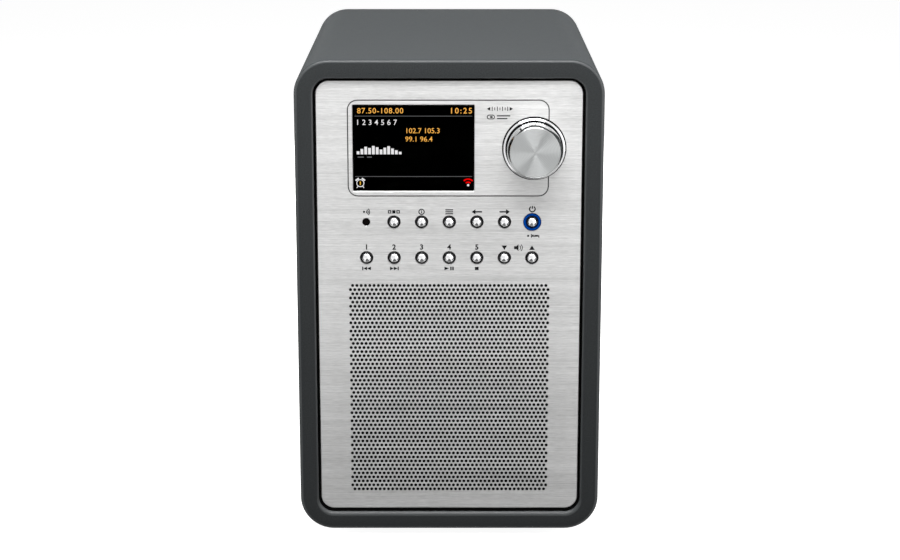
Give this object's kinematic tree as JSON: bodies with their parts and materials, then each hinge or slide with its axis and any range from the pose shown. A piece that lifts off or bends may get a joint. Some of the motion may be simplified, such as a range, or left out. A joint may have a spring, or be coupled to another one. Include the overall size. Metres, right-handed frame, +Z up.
{
  "type": "tabletop radio",
  "caption": "Portrait tabletop radio with brushed aluminium front, perforated speaker grille, colour display, turning and pressing knob and domed push buttons.",
  "frame": {"origin": "on the table, in the middle of the box that holds the radio, under its feet", "axes": "+Z up, the front faces -Y, +X to the right seen from the front"},
  "size_m": [0.12, 0.173, 0.1935],
  "materials": {
    "cabinet_paint": "matt soft-touch paint over wood fibre",
    "block_wood": "raw wood",
    "foot_rubber": "matt",
    "panel_aluminium": "horizontally brushed, anodised",
    "lens_clear": "polished clear window",
    "lcd": "black display glass in a metal frame",
    "cloth": "fine black scrim",
    "black_plastic": "fine matt texture",
    "chrome_trim": "mirror chrome",
    "knob_metal": "turned and polished",
    "knob_spun": "spun, diamond turned",
    "ring_blue": "translucent blue, lit from behind",
    "ir_smoked": "smoked infrared filter",
    "steel": "zinc plated",
    "component_plastic": "moulded",
    "led": "clear lamp",
    "circuit_board": "green solder mask",
    "ferrite": "sintered ferrite",
    "cone_paper": "pressed paper pulp",
    "roll_rubber": "moulded rubber",
    "spider_cloth": "resin-dipped cloth",
    "coil_copper": "enamelled copper wire on a former",
    "heatsink": "black anodised",
    "ribbon": "grey flat cable"
  },
  "bodies": {
    "radio_body": {"aerial_socket": "steel", "amplifier_heatsink": "heatsink", "audio_sockets": "component_plastic", "baffle_screws": "steel", "board_screws": "steel", "board_standoffs": "component_plastic", "cabinet": "cabinet_paint", "control_board": "circuit_board", "corner_blocks": "block_wood", "dc_inlet": "component_plastic", "display_lens": "lens_clear", "encoder_body": "component_plastic", "encoder_nut": "steel", "front_baffle": "black_plastic", "front_panel": "panel_aluminium", "grille_cloth": "cloth", "ir_receiver": "ir_smoked", "ir_window": "ir_smoked", "knob_escutcheon": "chrome_trim", "lcd_module": "lcd", "main_board": "circuit_board", "port_tube": "black_plastic", "power_leds": "led", "power_light_ring": "ring_blue", "rear_panel": "black_plastic", "rear_screws": "steel", "ribbon_cable": "ribbon", "ribbon_connectors": "component_plastic", "rubber_feet": "foot_rubber", "speaker_basket": "black_plastic", "speaker_magnet": "ferrite", "speaker_screws": "steel", "speaker_spider": "spider_cloth", "speaker_surround": "roll_rubber", "speaker_top_plate": "steel", "speaker_yoke": "steel", "tact_switches": "component_plastic", "tuner_module": "steel", "wifi_module": "circuit_board"},
    "tuning_press": {"encoder_plunger": "component_plastic"},
    "tuning_knob": {"knob_shell": "knob_metal", "knob_face": "knob_spun", "encoder_shaft": "steel"},
    "speaker_cone_assembly": {"speaker_cone": "cone_paper", "voice_coil": "coil_copper", "dust_cap": "cone_paper"},
    "mode_button": {"button_mode": "chrome_trim"},
    "info_button": {"button_info": "chrome_trim"},
    "menu_button": {"button_menu": "chrome_trim"},
    "back_button": {"button_back": "chrome_trim"},
    "forward_button": {"button_forward": "chrome_trim"},
    "power_button": {"button_power": "chrome_trim"},
    "preset_1_button": {"button_preset_1": "chrome_trim"},
    "preset_2_button": {"button_preset_2": "chrome_trim"},
    "preset_3_button": {"button_preset_3": "chrome_trim"},
    "preset_4_button": {"button_preset_4": "chrome_trim"},
    "preset_5_button": {"button_preset_5": "chrome_trim"},
    "volume_down_button": {"button_volume_down": "chrome_trim"},
    "volume_up_button": {"button_volume_up": "chrome_trim"}
  },
  "joints": [
    {"name": "mode_button_press", "type": "slide", "parent": "radio_body", "child": "mode_button", "axis": [0, 1, 0], "range_m": [0, 0.0005], "stiffness_N_per_m": 1000, "springref_m": -0.001},
    {"name": "info_button_press", "type": "slide", "parent": "radio_body", "child": "info_button", "axis": [0, 1, 0], "range_m": [0, 0.0005], "stiffness_N_per_m": 1000, "springref_m": -0.001},
    {"name": "menu_button_press", "type": "slide", "parent": "radio_body", "child": "menu_button", "axis": [0, 1, 0], "range_m": [0, 0.0005], "stiffness_N_per_m": 1000, "springref_m": -0.001},
    {"name": "back_button_press", "type": "slide", "parent": "radio_body", "child": "back_button", "axis": [0, 1, 0], "range_m": [0, 0.0005], "stiffness_N_per_m": 1000, "springref_m": -0.001},
    {"name": "forward_button_press", "type": "slide", "parent": "radio_body", "child": "forward_button", "axis": [0, 1, 0], "range_m": [0, 0.0005], "stiffness_N_per_m": 1000, "springref_m": -0.001},
    {"name": "power_button_press", "type": "slide", "parent": "radio_body", "child": "power_button", "axis": [0, 1, 0], "range_m": [0, 0.0005], "stiffness_N_per_m": 1000, "springref_m": -0.001},
    {"name": "preset_1_button_press", "type": "slide", "parent": "radio_body", "child": "preset_1_button", "axis": [0, 1, 0], "range_m": [0, 0.0005], "stiffness_N_per_m": 1000, "springref_m": -0.001},
    {"name": "preset_2_button_press", "type": "slide", "parent": "radio_body", "child": "preset_2_button", "axis": [0, 1, 0], "range_m": [0, 0.0005], "stiffness_N_per_m": 1000, "springref_m": -0.001},
    {"name": "preset_3_button_press", "type": "slide", "parent": "radio_body", "child": "preset_3_button", "axis": [0, 1, 0], "range_m": [0, 0.0005], "stiffness_N_per_m": 1000, "springref_m": -0.001},
    {"name": "preset_4_button_press", "type": "slide", "parent": "radio_body", "child": "preset_4_button", "axis": [0, 1, 0], "range_m": [0, 0.0005], "stiffness_N_per_m": 1000, "springref_m": -0.001},
    {"name": "preset_5_button_press", "type": "slide", "parent": "radio_body", "child": "preset_5_button", "axis": [0, 1, 0], "range_m": [0, 0.0005], "stiffness_N_per_m": 1000, "springref_m": -0.001},
    {"name": "volume_down_button_press", "type": "slide", "parent": "radio_body", "child": "volume_down_button", "axis": [0, 1, 0], "range_m": [0, 0.0005], "stiffness_N_per_m": 1000, "springref_m": -0.001},
    {"name": "volume_up_button_press", "type": "slide", "parent": "radio_body", "child": "volume_up_button", "axis": [0, 1, 0], "range_m": [0, 0.0005], "stiffness_N_per_m": 1000, "springref_m": -0.001},
    {"name": "tuning_press_slide", "type": "slide", "parent": "radio_body", "child": "tuning_press", "axis": [0, 1, 0], "range_m": [0, 0.0005], "stiffness_N_per_m": 2000, "springref_m": -0.0015},
    {"name": "tuning_knob_turn", "type": "hinge", "parent": "tuning_press", "child": "tuning_knob", "pos_m": [0.033, -0.0765, 0.1587], "axis": [0, 1, 0], "continuous": true},
    {"name": "speaker_cone_travel", "type": "slide", "parent": "radio_body", "child": "speaker_cone_assembly", "axis": [0, 1, 0], "range_m": [-0.0015, 0.0015], "stiffness_N_per_m": 1200}
  ]
}
